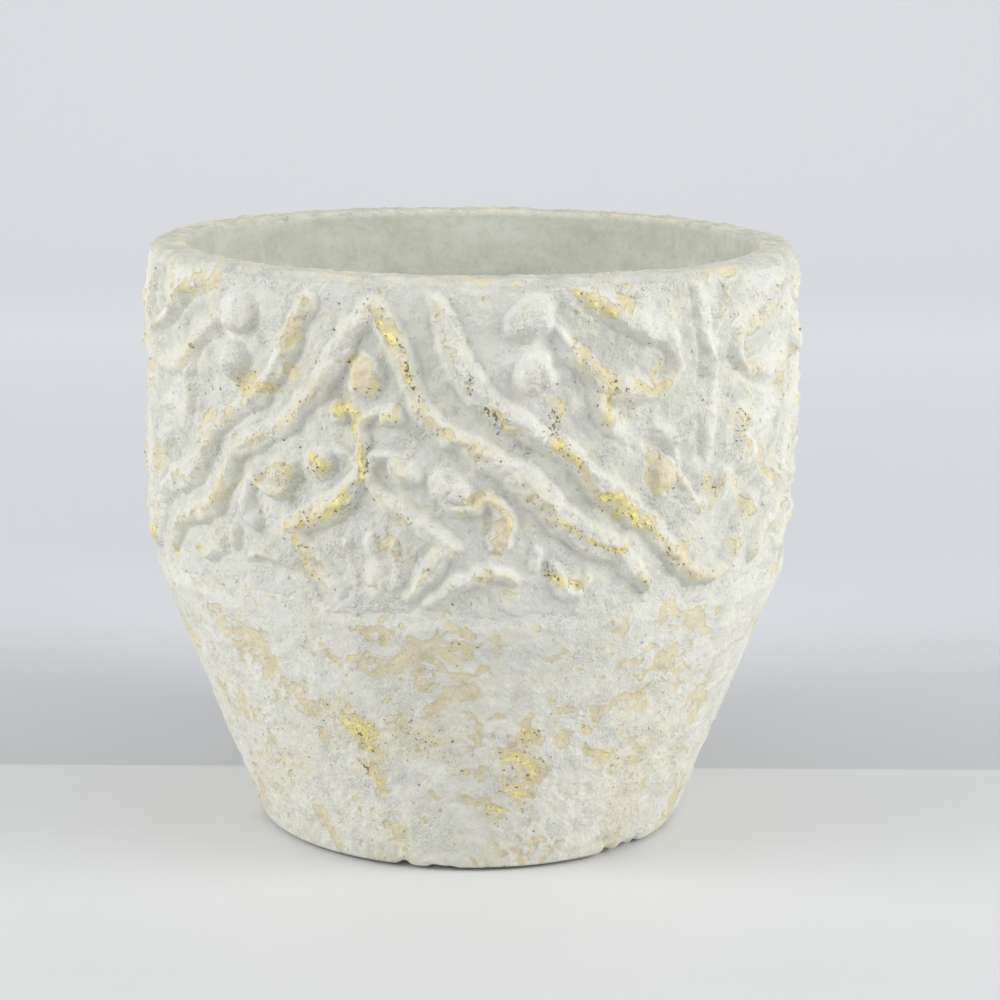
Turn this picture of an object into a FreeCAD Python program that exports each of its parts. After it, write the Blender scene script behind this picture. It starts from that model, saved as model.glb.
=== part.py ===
import FreeCAD, Part
import math
import os
import Sketcher
from FreeCAD import Vector

doc = FreeCAD.newDocument("cachepot")

# Driving dimensions, in millimetres unless the name says otherwise
SIZES = [
    ("overall_height", 200),
    ("band_height", 109),
    ("mouth_radius", 96),
    ("rim_width", 11.8),
    ("bore_draft", 1.5),
    ("base_radius", 72.6),
    ("cone_wall", 12),
    ("floor_thickness", 14),
    ("rim_round", 3),
    ("lip_round", 2.5),
    ("shoulder_round", 5),
    ("foot_round", 2.5),
    ("coat_thickness", 0.8),
    ("coat_drop", 45),
    ("pad_thickness", 1),
    ("pad_radius", 9),
    ("pad_circle", 54),
    ("pad_count", 4),
    ("panel_count", 3),
    ("strand_width", 9.6),
    ("strand_height", 5),
    ("foot_share", 0.08),
]

sheet = doc.addObject("Spreadsheet::Sheet", "sizes")
for row, (alias, number) in enumerate(SIZES, start=1):
    sheet.set("A%d" % row, alias)
    sheet.set("B%d" % row, str(number))
    sheet.setAlias("B%d" % row, alias)
doc.recompute()


def size(alias):
    return float(sheet.get(alias))


# Heights and radii that follow from the driving dimensions, as expressions for the sketches
WALL_RADIUS = "(sizes.mouth_radius + sizes.rim_width)"
SHOULDER_Z = "(sizes.overall_height - sizes.band_height)"
FLOOR_Z = "(sizes.pad_thickness + sizes.floor_thickness)"
CONE_SLOPE = "((%s - sizes.base_radius) / (%s - sizes.pad_thickness))" % (WALL_RADIUS, SHOULDER_Z)
CONE_INSET = "(sizes.cone_wall * sqrt(1 + %s * %s))" % (CONE_SLOPE, CONE_SLOPE)
BORE_FOOT_RADIUS = "(sizes.mouth_radius - sizes.bore_draft)"
FLOOR_RADIUS = "(sizes.base_radius + sizes.floor_thickness * %s - %s)" % (CONE_SLOPE, CONE_INSET)
BORE_FOOT_Z = "(%s + (%s - %s) / %s)" % (FLOOR_Z, BORE_FOOT_RADIUS, FLOOR_RADIUS, CONE_SLOPE)
COAT_TOP_Z = "(sizes.overall_height - sizes.coat_drop)"
BORE_SLOPE = "(sizes.bore_draft / (sizes.overall_height - %s))" % BORE_FOOT_Z
COAT_TOP_RADIUS = "(%s + (%s - %s) * %s)" % (BORE_FOOT_RADIUS, COAT_TOP_Z, BORE_FOOT_Z, BORE_SLOPE)
COAT_INSET = "(sizes.coat_thickness * sqrt(1 + %s * %s))" % (CONE_SLOPE, CONE_SLOPE)
COAT_FLOOR_Z = "(%s + sizes.coat_thickness)" % FLOOR_Z
COAT_FLOOR_RADIUS = "(%s + sizes.coat_thickness * %s - %s)" % (FLOOR_RADIUS, CONE_SLOPE, COAT_INSET)
COAT_FOOT_RADIUS = "(%s - sizes.coat_thickness)" % BORE_FOOT_RADIUS
COAT_FOOT_Z = "(%s + (%s - %s) / %s)" % (COAT_FLOOR_Z, COAT_FOOT_RADIUS, COAT_FLOOR_RADIUS, CONE_SLOPE)


def value(expression):
    return float(sheet.evalExpression(expression))


def revolved_body(label, outline):
    """A body turned about Z from a closed outline of (radius, height) expressions; its first and
    last points lie on the axis."""
    body = doc.addObject("PartDesign::Body", label)
    body.Label = label
    sketch = body.newObject("Sketcher::SketchObject", label + "_outline")
    plane = [item for item in body.Origin.OriginFeatures if item.Role == "XZ_Plane"][0]
    sketch.AttachmentSupport = [(plane, "")]
    sketch.MapMode = "FlatFace"
    points = [Vector(value(radius), value(height), 0) for radius, height in outline]
    count = len(points)
    for index in range(count):
        sketch.addGeometry(Part.LineSegment(points[index], points[(index + 1) % count]), False)
    for index in range(count):
        sketch.addConstraint(Sketcher.Constraint("Coincident", index, 2, (index + 1) % count, 1))
    for index, (radius, height) in enumerate(outline):
        if index in (0, count - 1):
            sketch.addConstraint(Sketcher.Constraint("PointOnObject", index, 1, -2))
        else:
            across = sketch.addConstraint(
                Sketcher.Constraint("DistanceX", -1, 1, index, 1, points[index].x))
            sketch.setExpression("Constraints[%d]" % across, radius)
        up = sketch.addConstraint(
            Sketcher.Constraint("DistanceY", -1, 1, index, 1, points[index].y))
        sketch.setExpression("Constraints[%d]" % up, height)
    turn = body.newObject("PartDesign::Revolution", label + "_turn")
    turn.Profile = sketch
    turn.ReferenceAxis = (sketch, ["V_Axis"])
    turn.Angle = 360
    body.Tip = turn
    doc.recompute()
    return body


def ring_edge(shape, radius, height):
    """Name of the circular edge about Z with this radius and height."""
    for index, edge in enumerate(shape.Edges, start=1):
        curve = edge.Curve
        if not isinstance(curve, Part.Circle):
            continue
        if abs(curve.Radius - radius) < 0.01 and abs(curve.Center.z - height) < 0.01:
            return "Edge%d" % index
    raise RuntimeError("no ring of radius %.2f at height %.2f" % (radius, height))


def round_ring(body, name, radius, height, rounding):
    base = body.Tip
    fillet = body.newObject("PartDesign::Fillet", name)
    fillet.Base = (base, [ring_edge(base.Shape, value(radius), value(height))])
    fillet.setExpression("Radius", rounding)
    body.Tip = fillet
    doc.recompute()


def make_pot():
    """Cast pot: a cone foot under a straight wall, open at the top."""
    body = revolved_body("pot_body", [
        ("0", "sizes.pad_thickness"),
        ("sizes.base_radius", "sizes.pad_thickness"),
        (WALL_RADIUS, SHOULDER_Z),
        (WALL_RADIUS, "sizes.overall_height"),
        ("sizes.mouth_radius", "sizes.overall_height"),
        (BORE_FOOT_RADIUS, BORE_FOOT_Z),
        (FLOOR_RADIUS, FLOOR_Z),
        ("0", FLOOR_Z),
    ])
    round_ring(body, "rim_edge", WALL_RADIUS, "sizes.overall_height", "sizes.rim_round")
    round_ring(body, "lip_edge", "sizes.mouth_radius", "sizes.overall_height", "sizes.lip_round")
    round_ring(body, "shoulder_edge", WALL_RADIUS, SHOULDER_Z, "sizes.shoulder_round")
    round_ring(body, "foot_edge", "sizes.base_radius", "sizes.pad_thickness", "sizes.foot_round")
    return body


def make_coat():
    """Sealing coat on the floor and the lower inside wall, a thin cup against the pot."""
    return revolved_body("sealing_coat", [
        ("0", FLOOR_Z),
        (FLOOR_RADIUS, FLOOR_Z),
        (BORE_FOOT_RADIUS, BORE_FOOT_Z),
        (COAT_TOP_RADIUS, COAT_TOP_Z),
        (COAT_TOP_RADIUS + " - sizes.coat_thickness", COAT_TOP_Z),
        (COAT_FOOT_RADIUS, COAT_FOOT_Z),
        (COAT_FLOOR_RADIUS, COAT_FLOOR_Z),
        ("0", COAT_FLOOR_Z),
    ])


def make_pads():
    """Thin pads under the base, set between the panels' centre lines."""
    pads = []
    count = int(size("pad_count"))
    for index in range(count):
        angle = 360 / count * (index + 0.5)
        pad = doc.addObject("Part::Cylinder", "foot_pad_%d" % (index + 1))
        pad.Label = pad.Name
        pad.setExpression("Radius", "sizes.pad_radius")
        pad.setExpression("Height", "sizes.pad_thickness")
        pad.setExpression("Placement.Base.x", "sizes.pad_circle * cos(%g)" % angle)
        pad.setExpression("Placement.Base.y", "sizes.pad_circle * sin(%g)" % angle)
        pads.append(pad)
    return pads


# The relief's master drawing is laid out on half a panel. A strand's points are: across from its
# motif's centre line and down from the rim, in hundredths of the half panel and of the band, and the
# share of the full strand width there.
ARCH = [
    (0, 8.7, 1), (4, 13.3, 1), (8.5, 21.1, 1), (13.2, 30.3, 1), (19.6, 39.4, 1), (28.6, 46.3, 1),
    (37.9, 50.9, 1), (43.8, 57.3, 1), (48.2, 64.7, 1), (55.4, 70.2, 1), (64.3, 74.8, 1), (72.3, 79.2, 0.95),
    (77.2, 85.3, 0.75),
]
VALLEY = [
    (0, 89.4, 0.85), (8.9, 84.4, 0.95), (12.9, 78, 1), (20.1, 71.7, 1), (28.6, 67, 1), (35.7, 63.1, 1),
    (41.5, 57.3, 1), (46.9, 50.5, 1), (52.7, 44, 1), (59.8, 39.4, 1), (67, 34.9, 1), (72.3, 28, 1),
    (76.3, 20.2, 1), (79.9, 12.8, 0.95), (82.1, 7.3, 0.8),
]
PALMETTE_CENTRE = [
    [(0, 25.2, 0.9), (0, 27.5, 1), (0, 29.8, 0.9)],
    [(0, 39.4, 0.5), (0, 47.7, 0.48), (0, 55, 0.55)],
    [(0, 73.4, 0.5), (0, 80.7, 0.85), (0, 89, 0.7)],
]
PALMETTE_SIDE = [
    [(0.4, 40.8, 0.42), (3.1, 37.2, 0.45), (6.7, 36.2, 0.55)],
    [(7.6, 37.6, 0.85), (7.6, 39, 0.85)],
    [(0.4, 54.6, 0.45), (4, 51.4, 0.55), (8, 50.9, 0.6)],
    [(10.7, 52.8, 1), (10.7, 54.6, 1)],
    [(0.4, 56.4, 0.6), (6.2, 62.8, 0.85), (13.4, 68.3, 0.95), (19.6, 72.5, 0.95), (22.8, 75.2, 0.85)],
    [(22.8, 75.2, 0.85), (17.9, 80.3, 0.9), (13.2, 85.3, 0.8), (10.3, 90.4, 0.6)],
    [(6.7, 74.8, 0.4), (7.1, 80.3, 0.5), (5.4, 87.2, 0.42)],
]
SCROLLS_SIDE = [
    [(21.4, 57.3, 1), (21.4, 58.7, 1)],
    [(21.9, 61, 0.7), (25, 64.7, 0.65), (29.5, 62.8, 0.65), (33, 59.6, 0.75), (36.6, 63.3, 0.8),
     (37.5, 69.3, 0.9), (34.4, 73.4, 0.8)],
    [(16.5, 93.1, 0.45), (20.5, 89, 0.65), (25.9, 84.4, 0.75), (33, 81.7, 0.75), (39.3, 83.9, 0.55)],
    [(45.1, 75.7, 0.6), (44.6, 79.4, 0.65)],
    [(50.4, 79.4, 0.55), (51.3, 83.9, 0.7), (54.9, 87, 0.7), (58.9, 85.8, 0.65), (60.7, 83.5, 0.5)],
]
CROWN_CENTRE = [
    [(0, 8.7, 0.6), (0, 18.3, 0.65), (0, 28.4, 0.75)],
    [(0, 61.9, 0.7), (0, 66.1, 1), (0, 69.7, 0.75)],
]
CROWN_SIDE = [
    [(58.9, 9.2, 1.3), (58, 13.3, 1.45), (56.7, 18.8, 1.05), (56.2, 25.2, 1.45), (56.2, 28.9, 1.2)],
    [(47.8, 15.6, 0.6), (42.4, 19.3, 0.75), (37.5, 24.8, 0.85), (32.1, 29.4, 0.9), (25, 31.5, 0.85),
     (18.3, 30.7, 0.85), (13.4, 27.1, 0.9), (12.9, 22.5, 0.9), (17.9, 18.3, 0.85), (25.4, 16.5, 0.8),
     (32.1, 12.4, 0.8), (37.9, 8.3, 0.7)],
    [(28.6, 8, 0.95), (24.6, 8, 0.95)],
    [(36.6, 31.7, 0.75), (36.2, 39.4, 0.95), (31.7, 45.9, 0.9), (25.9, 50, 0.65)],
    [(25.4, 38.1, 0.9), (22.3, 42.7, 1), (19.6, 46.3, 0.75)],
    [(20.1, 52.8, 0.8), (17.9, 56.9, 1.05), (15.6, 60.6, 0.8)],
    [(1.8, 31.7, 0.7), (5.8, 35.3, 0.7), (9.4, 37.6, 0.6)],
    [(4, 41.7, 0.6), (4.9, 48.6, 0.75), (7.1, 55, 0.65)],
]

# How a strand is faceted: sides of its rounded back, the longest run in millimetres and the most
# turn in degrees from one section to the next, and how far its rounded nose goes past its last
# point, as a share of the half width
BACK_SIDES = 4
LONGEST_RUN = 11
MOST_TURN = 34
NOSE_SHARE = 0.75


def strand_section(place, heading, width):
    """Half-round section of a strand, square to its run, its foot let into the wall a little."""
    wall_radius = value(WALL_RADIUS)
    angle = place.x / wall_radius
    outward = Vector(math.sin(angle), -math.cos(angle), 0)
    around = Vector(math.cos(angle), math.sin(angle), 0)
    side = Vector(0, 0, heading.x) - around * heading.y
    centre = outward * wall_radius + Vector(0, 0, place.y)
    height = size("strand_height") * min(1, width / size("strand_width"))
    foot_depth = size("foot_share") * width
    corners = []
    for index in range(BACK_SIDES + 1):
        lean = math.pi * index / BACK_SIDES
        rise = (height + foot_depth) * math.sin(lean) - foot_depth
        corners.append(centre + side * (width / 2 * math.cos(lean)) + outward * rise)
    return Part.makePolygon(corners + corners[:1])


def stations_along(line):
    """Places along a strand's line for its sections: (place, heading, width)."""
    fine = []
    for place in line.discretize(Number=max(8, round(line.length()))):
        heading = line.tangent(line.parameter(place))[0]
        heading.z = 0
        heading.normalize()
        fine.append((Vector(place.x, place.y, 0), heading, place.z))
    stations = [fine[0]]
    for station in fine[2:-2]:
        run = station[0].distanceToPoint(stations[-1][0])
        turn = math.degrees(station[1].getAngle(stations[-1][1]))
        if run > LONGEST_RUN or turn > MOST_TURN:
            stations.append(station)
    return stations + [fine[-1]]


def strand(points):
    """A ridge that swells and narrows along a smooth line through the drawing's points."""
    half_panel = math.pi / size("panel_count") * value(WALL_RADIUS)
    hundredth_across = half_panel / 100
    hundredth_down = size("band_height") / 100
    top = size("overall_height")
    line = Part.BSplineCurve()
    line.interpolate([
        Vector(across * hundredth_across, top - down * hundredth_down, share * size("strand_width"))
        for across, down, share in points
    ])
    stations = stations_along(line)
    noses = []
    for (place, heading, width), forward in ((stations[0], -1), (stations[-1], 1)):
        reach = heading * (forward * NOSE_SHARE * width / 2)
        noses.append((place + reach, heading, width * math.sqrt(1 - NOSE_SHARE ** 2)))
    stations = noses[:1] + stations + noses[1:]
    return Part.makeLoft([strand_section(*station) for station in stations], True, True)


def mirrored(points):
    return [(-across, down, share) for across, down, share in points]


def motif(label, strands, turn):
    """Strands joined into one applied motif, trimmed to the wall, one copy to each panel."""
    wall = Part.makeCylinder(value(WALL_RADIUS), size("overall_height"))
    solids = [strand(points) for points in strands]
    shape = solids[0].fuse(solids[1:]).cut(wall)
    panel_count = int(size("panel_count"))
    copies = []
    for index in range(panel_count):
        piece = doc.addObject("Part::Feature", "%s_%d" % (label, index + 1))
        piece.Label = piece.Name
        piece.Shape = shape
        angle = 360 / panel_count * (index + turn)
        piece.Placement = FreeCAD.Placement(Vector(), FreeCAD.Rotation(Vector(0, 0, 1), angle))
        copies.append(piece)
    return copies


def with_mirror(centre, side):
    return centre + side + [mirrored(points) for points in side]


# The motif in the middle of the photographed front stands a little left of the pot's front line
FRONT_TURN = -16.7 / 120
HALF_PANEL_ON = FRONT_TURN + 0.5

pieces = [make_pot(), make_coat()]
pieces += make_pads()
pieces += motif("ogee_arch", with_mirror([], [ARCH]), FRONT_TURN)
pieces += motif("ogee_valley", with_mirror([], [VALLEY]), HALF_PANEL_ON)
pieces += motif("palmette", with_mirror(PALMETTE_CENTRE, PALMETTE_SIDE), FRONT_TURN)
pieces += motif("side_scrolls", with_mirror([], SCROLLS_SIDE), FRONT_TURN)
pieces += motif("crown_spray", with_mirror(CROWN_CENTRE, CROWN_SIDE), HALF_PANEL_ON)
doc.recompute()

for item in doc.Objects:
    if "Invalid" in item.State or "Error" in item.State:
        raise RuntimeError("%s failed: %s" % (item.Label, item.State))
for piece in pieces:
    if piece.Shape.isNull() or not piece.Shape.isValid():
        raise RuntimeError("%s has no valid shape" % piece.Label)

os.makedirs("parts", exist_ok=True)
for piece in pieces:
    piece.Shape.exportStep("parts/%s.step" % piece.Label)
    print(piece.Label, len(piece.Shape.Solids), "solids", round(piece.Shape.Volume / 1000, 2), "cm3")
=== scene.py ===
import math
from types import SimpleNamespace
import bmesh
import bpy
import numpy as np
from mathutils import Matrix, Vector
from mathutils.bvhtree import BVHTree


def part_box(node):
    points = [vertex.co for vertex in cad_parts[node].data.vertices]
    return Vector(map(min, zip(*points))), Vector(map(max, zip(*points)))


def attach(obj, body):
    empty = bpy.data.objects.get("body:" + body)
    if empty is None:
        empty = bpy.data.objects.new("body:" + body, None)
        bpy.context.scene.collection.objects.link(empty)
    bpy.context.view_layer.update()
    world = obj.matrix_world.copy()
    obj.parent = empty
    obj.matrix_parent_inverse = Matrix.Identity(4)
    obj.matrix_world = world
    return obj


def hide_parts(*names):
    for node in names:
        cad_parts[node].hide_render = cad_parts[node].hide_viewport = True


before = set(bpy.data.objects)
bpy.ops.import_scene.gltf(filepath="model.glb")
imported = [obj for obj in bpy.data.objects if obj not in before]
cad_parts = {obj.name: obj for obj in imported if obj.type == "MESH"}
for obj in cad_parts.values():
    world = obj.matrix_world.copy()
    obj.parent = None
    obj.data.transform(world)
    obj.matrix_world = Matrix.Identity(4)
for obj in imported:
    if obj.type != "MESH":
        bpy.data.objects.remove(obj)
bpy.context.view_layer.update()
scene = bpy.context.scene
mm = 0.001

potLow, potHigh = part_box("pot_body")
wallRadius = potHigh.x / mm
rimHeight = potHigh.z / mm
baseHeight = potLow.z / mm
panelCount = 3
panels = range(1, panelCount + 1)
crownTurn = math.pi / panelCount  # from a palmette to the next crown
print("frame loaded, wall radius", round(wallRadius, 1), "rim height", round(rimHeight, 1))


def named(settings):  # a dictionary's settings, read by name
    return SimpleNamespace(**settings)


# Fields: rows of cells up the pot, columns round it, so every blur and lookup wraps round

def blurred(g, field, size):
    sigma = size * g.cell
    upWaves = np.fft.fftfreq(field.shape[0])[:, None]
    roundWaves = np.fft.rfftfreq(field.shape[1])[None, :]
    keep = np.exp(-2 * (math.pi * sigma) ** 2 * (upWaves ** 2 + roundWaves ** 2))
    return np.fft.irfft2(np.fft.rfft2(field) * keep, s=field.shape)


def grain(g, size, seed):
    field = blurred(g, np.random.RandomState(seed).normal(size=g.shape), size)
    return field / field.std()


def lookUp(field, row, column):  # read between cells
    row = np.clip(row, 0, field.shape[0] - 1.001)
    rowLow, columnLow = np.floor(row).astype(int), np.floor(column).astype(int)
    rowPart, columnPart = row - rowLow, column - columnLow
    left, right = columnLow % field.shape[1], (columnLow + 1) % field.shape[1]
    low, high = (field[at, left] * (1 - columnPart) + field[at, right] * columnPart for at in (rowLow, rowLow + 1))
    return low * (1 - rowPart) + high * rowPart


def eased(low, high, x):  # 0 before low, 1 after high, smooth between
    t = np.clip((x - low) / (high - low), 0, 1)
    return t * t * (3 - 2 * t)


markForm = dict(reach=3, dentFall=1.6, ringWide=0.33, sink=0.5, sinkFall=3)


def scatterMarks(g, areaPerMark, seed, sizes, form):  # small dents or rings at random places
    picks = np.random.RandomState(seed)
    field = np.zeros(g.shape)
    rows, columns = g.shape
    for _ in range(int(rows * columns * g.step * g.step / areaPerMark)):
        row = picks.randint(0, rows)
        column = picks.randint(0, columns)
        size = picks.uniform(*sizes)
        reach = int(markForm["reach"] * size / g.step) + 1
        rowSpan = np.arange(max(0, row - reach), min(rows, row + reach + 1))
        columnSpan = column + np.arange(-reach, reach + 1)
        gap = np.hypot((rowSpan - row)[:, None], (columnSpan - column)[None, :]) * g.step
        field[np.ix_(rowSpan, columnSpan % columns)] += form(gap / size)
    return field


def dent(x):
    return -np.exp(-markForm["dentFall"] * x * x)


def bubble(x):  # a raised ring round a sunk middle
    s = named(markForm)
    return np.exp(-((x - 1) / s.ringWide) ** 2) - s.sink * np.exp(-s.sinkFall * x * x)


# Listed wear. Across is millimetres of arc from the front line, taken at reliefArc
reliefArc = 110
backFrom = (95, 135)  # the photographed front ends here, and chance takes over

bandGold = [  # across, height, across, height, half width, strength
    (-29, 187, -25, 179, 2.6, 1.1), (-25, 179, -18, 167, 1.4, 1.0), (-42, 161, -37, 159, 2.0, 1.06),
    (-37, 159, -34, 136, 1.2, 1.1), (-40, 131, -44, 127, 2.6, 1.08), (-44, 127, -56, 121, 1.8, 0.98),
    (-56, 121, -53, 111, 1.6, 1.0), (-53, 111, -48, 103, 1.2, 0.95), (-50, 145, -46, 143, 2.0, 1.02),
    (-80, 164, -75, 167, 2.6, 1.02), (-74, 162, -64, 164, 2.0, 0.9), (-70, 137, -70, 132, 1.5, 0.98),
    (33, 196, 44, 189, 2.2, 1.1), (49, 191, 51, 191, 2.4, 1.1), (40, 171, 42, 167, 2.4, 1.1),
    (42, 165, 43, 156, 1.8, 0.98), (52, 166, 58, 165, 1.2, 0.92), (58, 166, 63, 176, 1.1, 0.86),
    (4, 160, 14, 155, 1.6, 1.0), (27, 162, 27, 158, 1.6, 1.0), (26, 152, 26, 149, 2.2, 1.02),
    (26, 149, 34, 142, 1.2, 0.94), (34, 142, 41, 133, 1.6, 1.0), (41, 133, 56, 123, 2.6, 1.1),
    (56, 123, 66, 115, 1.2, 0.9), (24, 127, 36, 120, 0.9, 1.02), (36, 120, 51, 115, 0.9, 1.0),
    (25, 109, 28, 107, 1.9, 1.1), (31, 106, 34, 105, 1.5, 1.0), (-14, 160, -6, 150, 1.0, 0.85),
    (117, 183, 116, 180, 2.0, 1.0), (125, 192, 124, 186, 1.2, 0.9), (98, 150, 103, 144, 2.0, 0.95),
    (82, 135, 88, 128, 2.0, 0.86), (-36, 174, -35, 168, 1.6, 0.9),
]
coneGold = [
    (-47, 56, -38, 50, 4.5, 1.0), (-43, 49, -36, 46, 3.0, 0.9), (-42, 38, -38, 33, 3.4, 0.8),
    (18, 43, 25, 40, 3.8, 0.95), (18, 34, 23, 31, 3.2, 0.95), (-4, 38, 3, 38, 1.6, 0.9),
    (8, 26, 13, 22, 2.6, 0.9), (20, 54, 24, 52, 2.2, 0.85), (63, 63, 67, 60, 2.6, 0.95),
    (43, 55, 47, 53, 2.4, 0.9), (52, 44, 56, 41, 2.2, 0.9), (-50, 80, -47, 76, 1.6, 0.8),
    (-6, 84, -2, 82, 1.6, 0.8), (-24, 52, -10, 50, 6.0, 0.6),
]
# lines along which dark specks gather: across, height, across, height, half width, strength
bandSpeckLines = [
    (-23, 177, -16, 164, 0.6, 1.0), (-34, 150, -33, 139, 0.7, 1.0), (-33, 137, -31, 133, 0.7, 1.0),
    (-45, 109, -43, 102, 0.7, 0.9), (-58, 103, -55, 100, 0.8, 0.9), (-20, 129, -18, 126, 0.8, 0.8),
    (-5, 136, -3, 133, 1.0, 0.9), (-3, 173, 1, 165, 0.7, 0.9), (4, 160, 8, 155, 1.0, 0.9),
    (-11, 153, -8, 151, 0.7, 0.9), (-70, 168, -67, 174, 1.8, 0.7), (-97, 163, -94, 161, 0.8, 0.8),
    (25, 160, 26, 155, 1.2, 0.9), (98, 152, 99, 140, 0.8, 0.8), (54, 184, 58, 178, 0.6, 0.7),
    (-32, 166, -30, 164, 1.6, 0.8), (24, 111, 27, 109, 0.8, 0.9), (90, 190, 96, 182, 1.6, 0.7),
]
bandPeach = [
    (-130, 182, -112, 190, 4.0, 0.9), (-112, 190, -90, 197, 4.0, 0.95), (-57, 185, -58, 176, 2.4, 1.0),
    (-59, 172, -60, 169, 2.6, 0.95), (-87, 158, -84, 154, 3.2, 0.9), (-92, 152, -98, 144, 3.0, 0.9),
    (-84, 147, -86, 128, 3.4, 0.9), (-76, 163, -66, 163, 2.6, 0.9), (-29, 190, -24, 182, 3.6, 0.95),
    (-10, 155, -5, 150, 3.4, 0.9), (0, 148, 2, 146, 2.6, 0.9), (-2, 131, 6, 133, 3.0, 0.9),
    (8, 124, 9, 117, 2.8, 0.9), (-25, 117, -22, 113, 3.4, 0.85), (-22, 129, -20, 124, 2.8, 0.85),
    (-37, 112, -34, 105, 4.0, 0.9), (32, 181, 37, 174, 2.4, 0.85), (39, 199, 54, 199, 2.4, 1.0),
    (44, 193, 52, 188, 3.4, 0.8), (52, 166, 65, 165, 2.2, 0.85), (68, 113, 71, 110, 3.2, 0.95),
    (79, 125, 82, 122, 3.2, 0.9), (92, 113, 94, 108, 3.2, 0.85), (98, 128, 103, 120, 3.4, 0.85),
    (104, 166, 106, 160, 3.6, 0.9), (118, 135, 122, 130, 4.0, 0.9), (143, 180, 145, 160, 3.0, 0.9),
    (101, 148, 103, 143, 3.2, 0.8), (10, 105, 11, 101, 2.4, 0.9), (2, 110, 4, 108, 2.4, 0.9),
    (125, 194, 124, 183, 2.6, 0.9),
]
# whole bosses: across, height, half width, half height
peachSpots = [(-32.4, 169.8, 4.6, 7.0), (61.5, 138.0, 5.0, 7.4)]
conePeach = [
    (-47, 79, -45, 78, 3.0, 1.0), (-40, 78, -38, 76, 3.2, 1.05), (-32, 88, -27, 87, 2.8, 1.0),
    (-33, 75, -24, 78, 3.0, 1.15), (-24, 78, -12, 84, 3.4, 1.15), (-12, 84, -9, 90, 3.0, 1.1),
    (-12, 84, -2, 83, 2.8, 1.15), (-20, 80, -15, 72, 3.8, 1.15), (-18, 86, -16, 84, 2.4, 1.0),
    (-3, 90, 0, 89, 2.6, 1.0), (-9, 77, 2, 74, 3.0, 1.1), (-14, 60, -9, 67, 3.4, 1.1), (-9, 67, 0, 69, 2.8, 1.1),
    (-99, 87, -91, 77, 4.6, 1.0), (-84, 80, -76, 68, 4.6, 1.05), (-67, 63, -58, 51, 4.8, 1.0),
    (-115, 53, -97, 49, 6.0, 0.75), (68, 92, 90, 80, 4.4, 0.95), (59, 75, 72, 74, 3.6, 0.9),
    (52, 61, 67, 64, 4.2, 1.0), (28, 65, 31, 61, 3.2, 0.95), (-46, 56, -38, 48, 3.8, 0.85),
    (-42, 40, -36, 31, 4.2, 0.95), (20, 56, 26, 50, 3.4, 0.9), (16, 46, 28, 38, 4.2, 1.0),
    (20, 36, 26, 30, 3.4, 0.9), (-3, 39, 6, 37, 3.0, 0.8), (8, 27, 14, 22, 3.4, 0.9), (0, 57, 4, 53, 2.6, 0.8),
    (42, 57, 48, 52, 3.0, 0.8), (70, 44, 76, 38, 3.4, 0.85), (50, 45, 56, 41, 3.0, 0.8),
    (48, 91, 52, 88, 2.4, 0.8), (98, 62, 106, 52, 4.0, 0.8), (80, 68, 85, 62, 3.4, 0.8),
    (-74, 13, -68, 8, 4.0, 0.9), (-37, 16, -32, 12, 3.4, 0.85), (18, 8, 26, 5, 3.6, 0.9),
    (32, 9, 38, 5, 3.2, 0.9), (-20, 50, -14, 46, 2.8, 0.75), (34, 52, 38, 47, 2.8, 0.75),
    (-100, 54, -90, 40, 10.0, 0.45), (96, 50, 110, 30, 10.0, 0.45),
]
footChips = [  # across, width
    (-33, 3.0), (76, 3.5), (88, 5.0), (97, 3.4), (-150, 4.0), (190, 3.0), (240, 4.0),
]


def strokeGap(stroke, across, height):  # distance from a stroke
    acrossA, heightA, acrossB, heightB = stroke[:4]
    runAcross = acrossB - acrossA
    runUp = heightB - heightA
    length2 = runAcross ** 2 + runUp ** 2 + 1e-9
    t = np.clip(((across - acrossA) * runAcross + (height - heightA) * runUp) / length2, 0, 1)
    return np.hypot(across - acrossA - t * runAcross, height - heightA - t * runUp)


def strokeField(strokes, across, height, full, gone):  # strength near strokes, fading between two reaches
    field = np.zeros(across.shape)
    for stroke in strokes:
        reach = strokeGap(stroke, across, height) / stroke[4]
        field = np.maximum(field, stroke[5] * np.clip((gone - reach) / (gone - full), 0, 1))
    return field


def gridOf(outline, columns, step):  # a turned skin's cells, each with its place on the pot
    angles = np.arange(columns) * 2 * math.pi / columns
    turns = np.where(angles > math.pi, angles - 2 * math.pi, angles)
    across = np.repeat(turns[None, :] * reliefArc, len(outline), axis=0)
    return SimpleNamespace(
        outline=outline, shape=(len(outline), columns), step=step, cell=1 / step, angles=angles, across=across,
        radius=np.repeat(outline[:, :1], columns, axis=1), height=np.repeat(outline[:, 1:], columns, axis=1),
        back=eased(*backFrom, np.abs(across)))


def grainsOf(g, parts, seed=0):  # a sum of grains: weight, size, seed
    return sum(weight * grain(g, size, seed + ownSeed) for weight, size, ownSeed in parts)


def chanceOf(g, size, seed, low, high):  # patches left to chance
    return eased(low, high, grain(g, size, seed))


def bentPlaces(g, bend, size, seed):  # across and height, shaken so that strokes get ragged sides
    return g.across + bend * grain(g, size, seed), g.height + bend * grain(g, size, seed + 1)


# Mesh helpers

def sheetMesh(name, points, wrap):
    rows, columns = points.shape[:2]
    index = np.arange(rows * columns).reshape(rows, columns)
    if wrap:
        index = np.hstack([index, index[:, :1]])
    quads = np.stack([index[:-1, :-1], index[:-1, 1:], index[1:, 1:], index[1:, :-1]], axis=-1)
    mesh = bpy.data.meshes.new(name)
    mesh.from_pydata(points.reshape(-1, 3), [], quads.reshape(-1, 4))
    mesh.shade_smooth()
    return mesh


def addPiece(name, data):
    piece = bpy.data.objects.new(name, data)
    scene.collection.objects.link(piece)
    return piece


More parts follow.
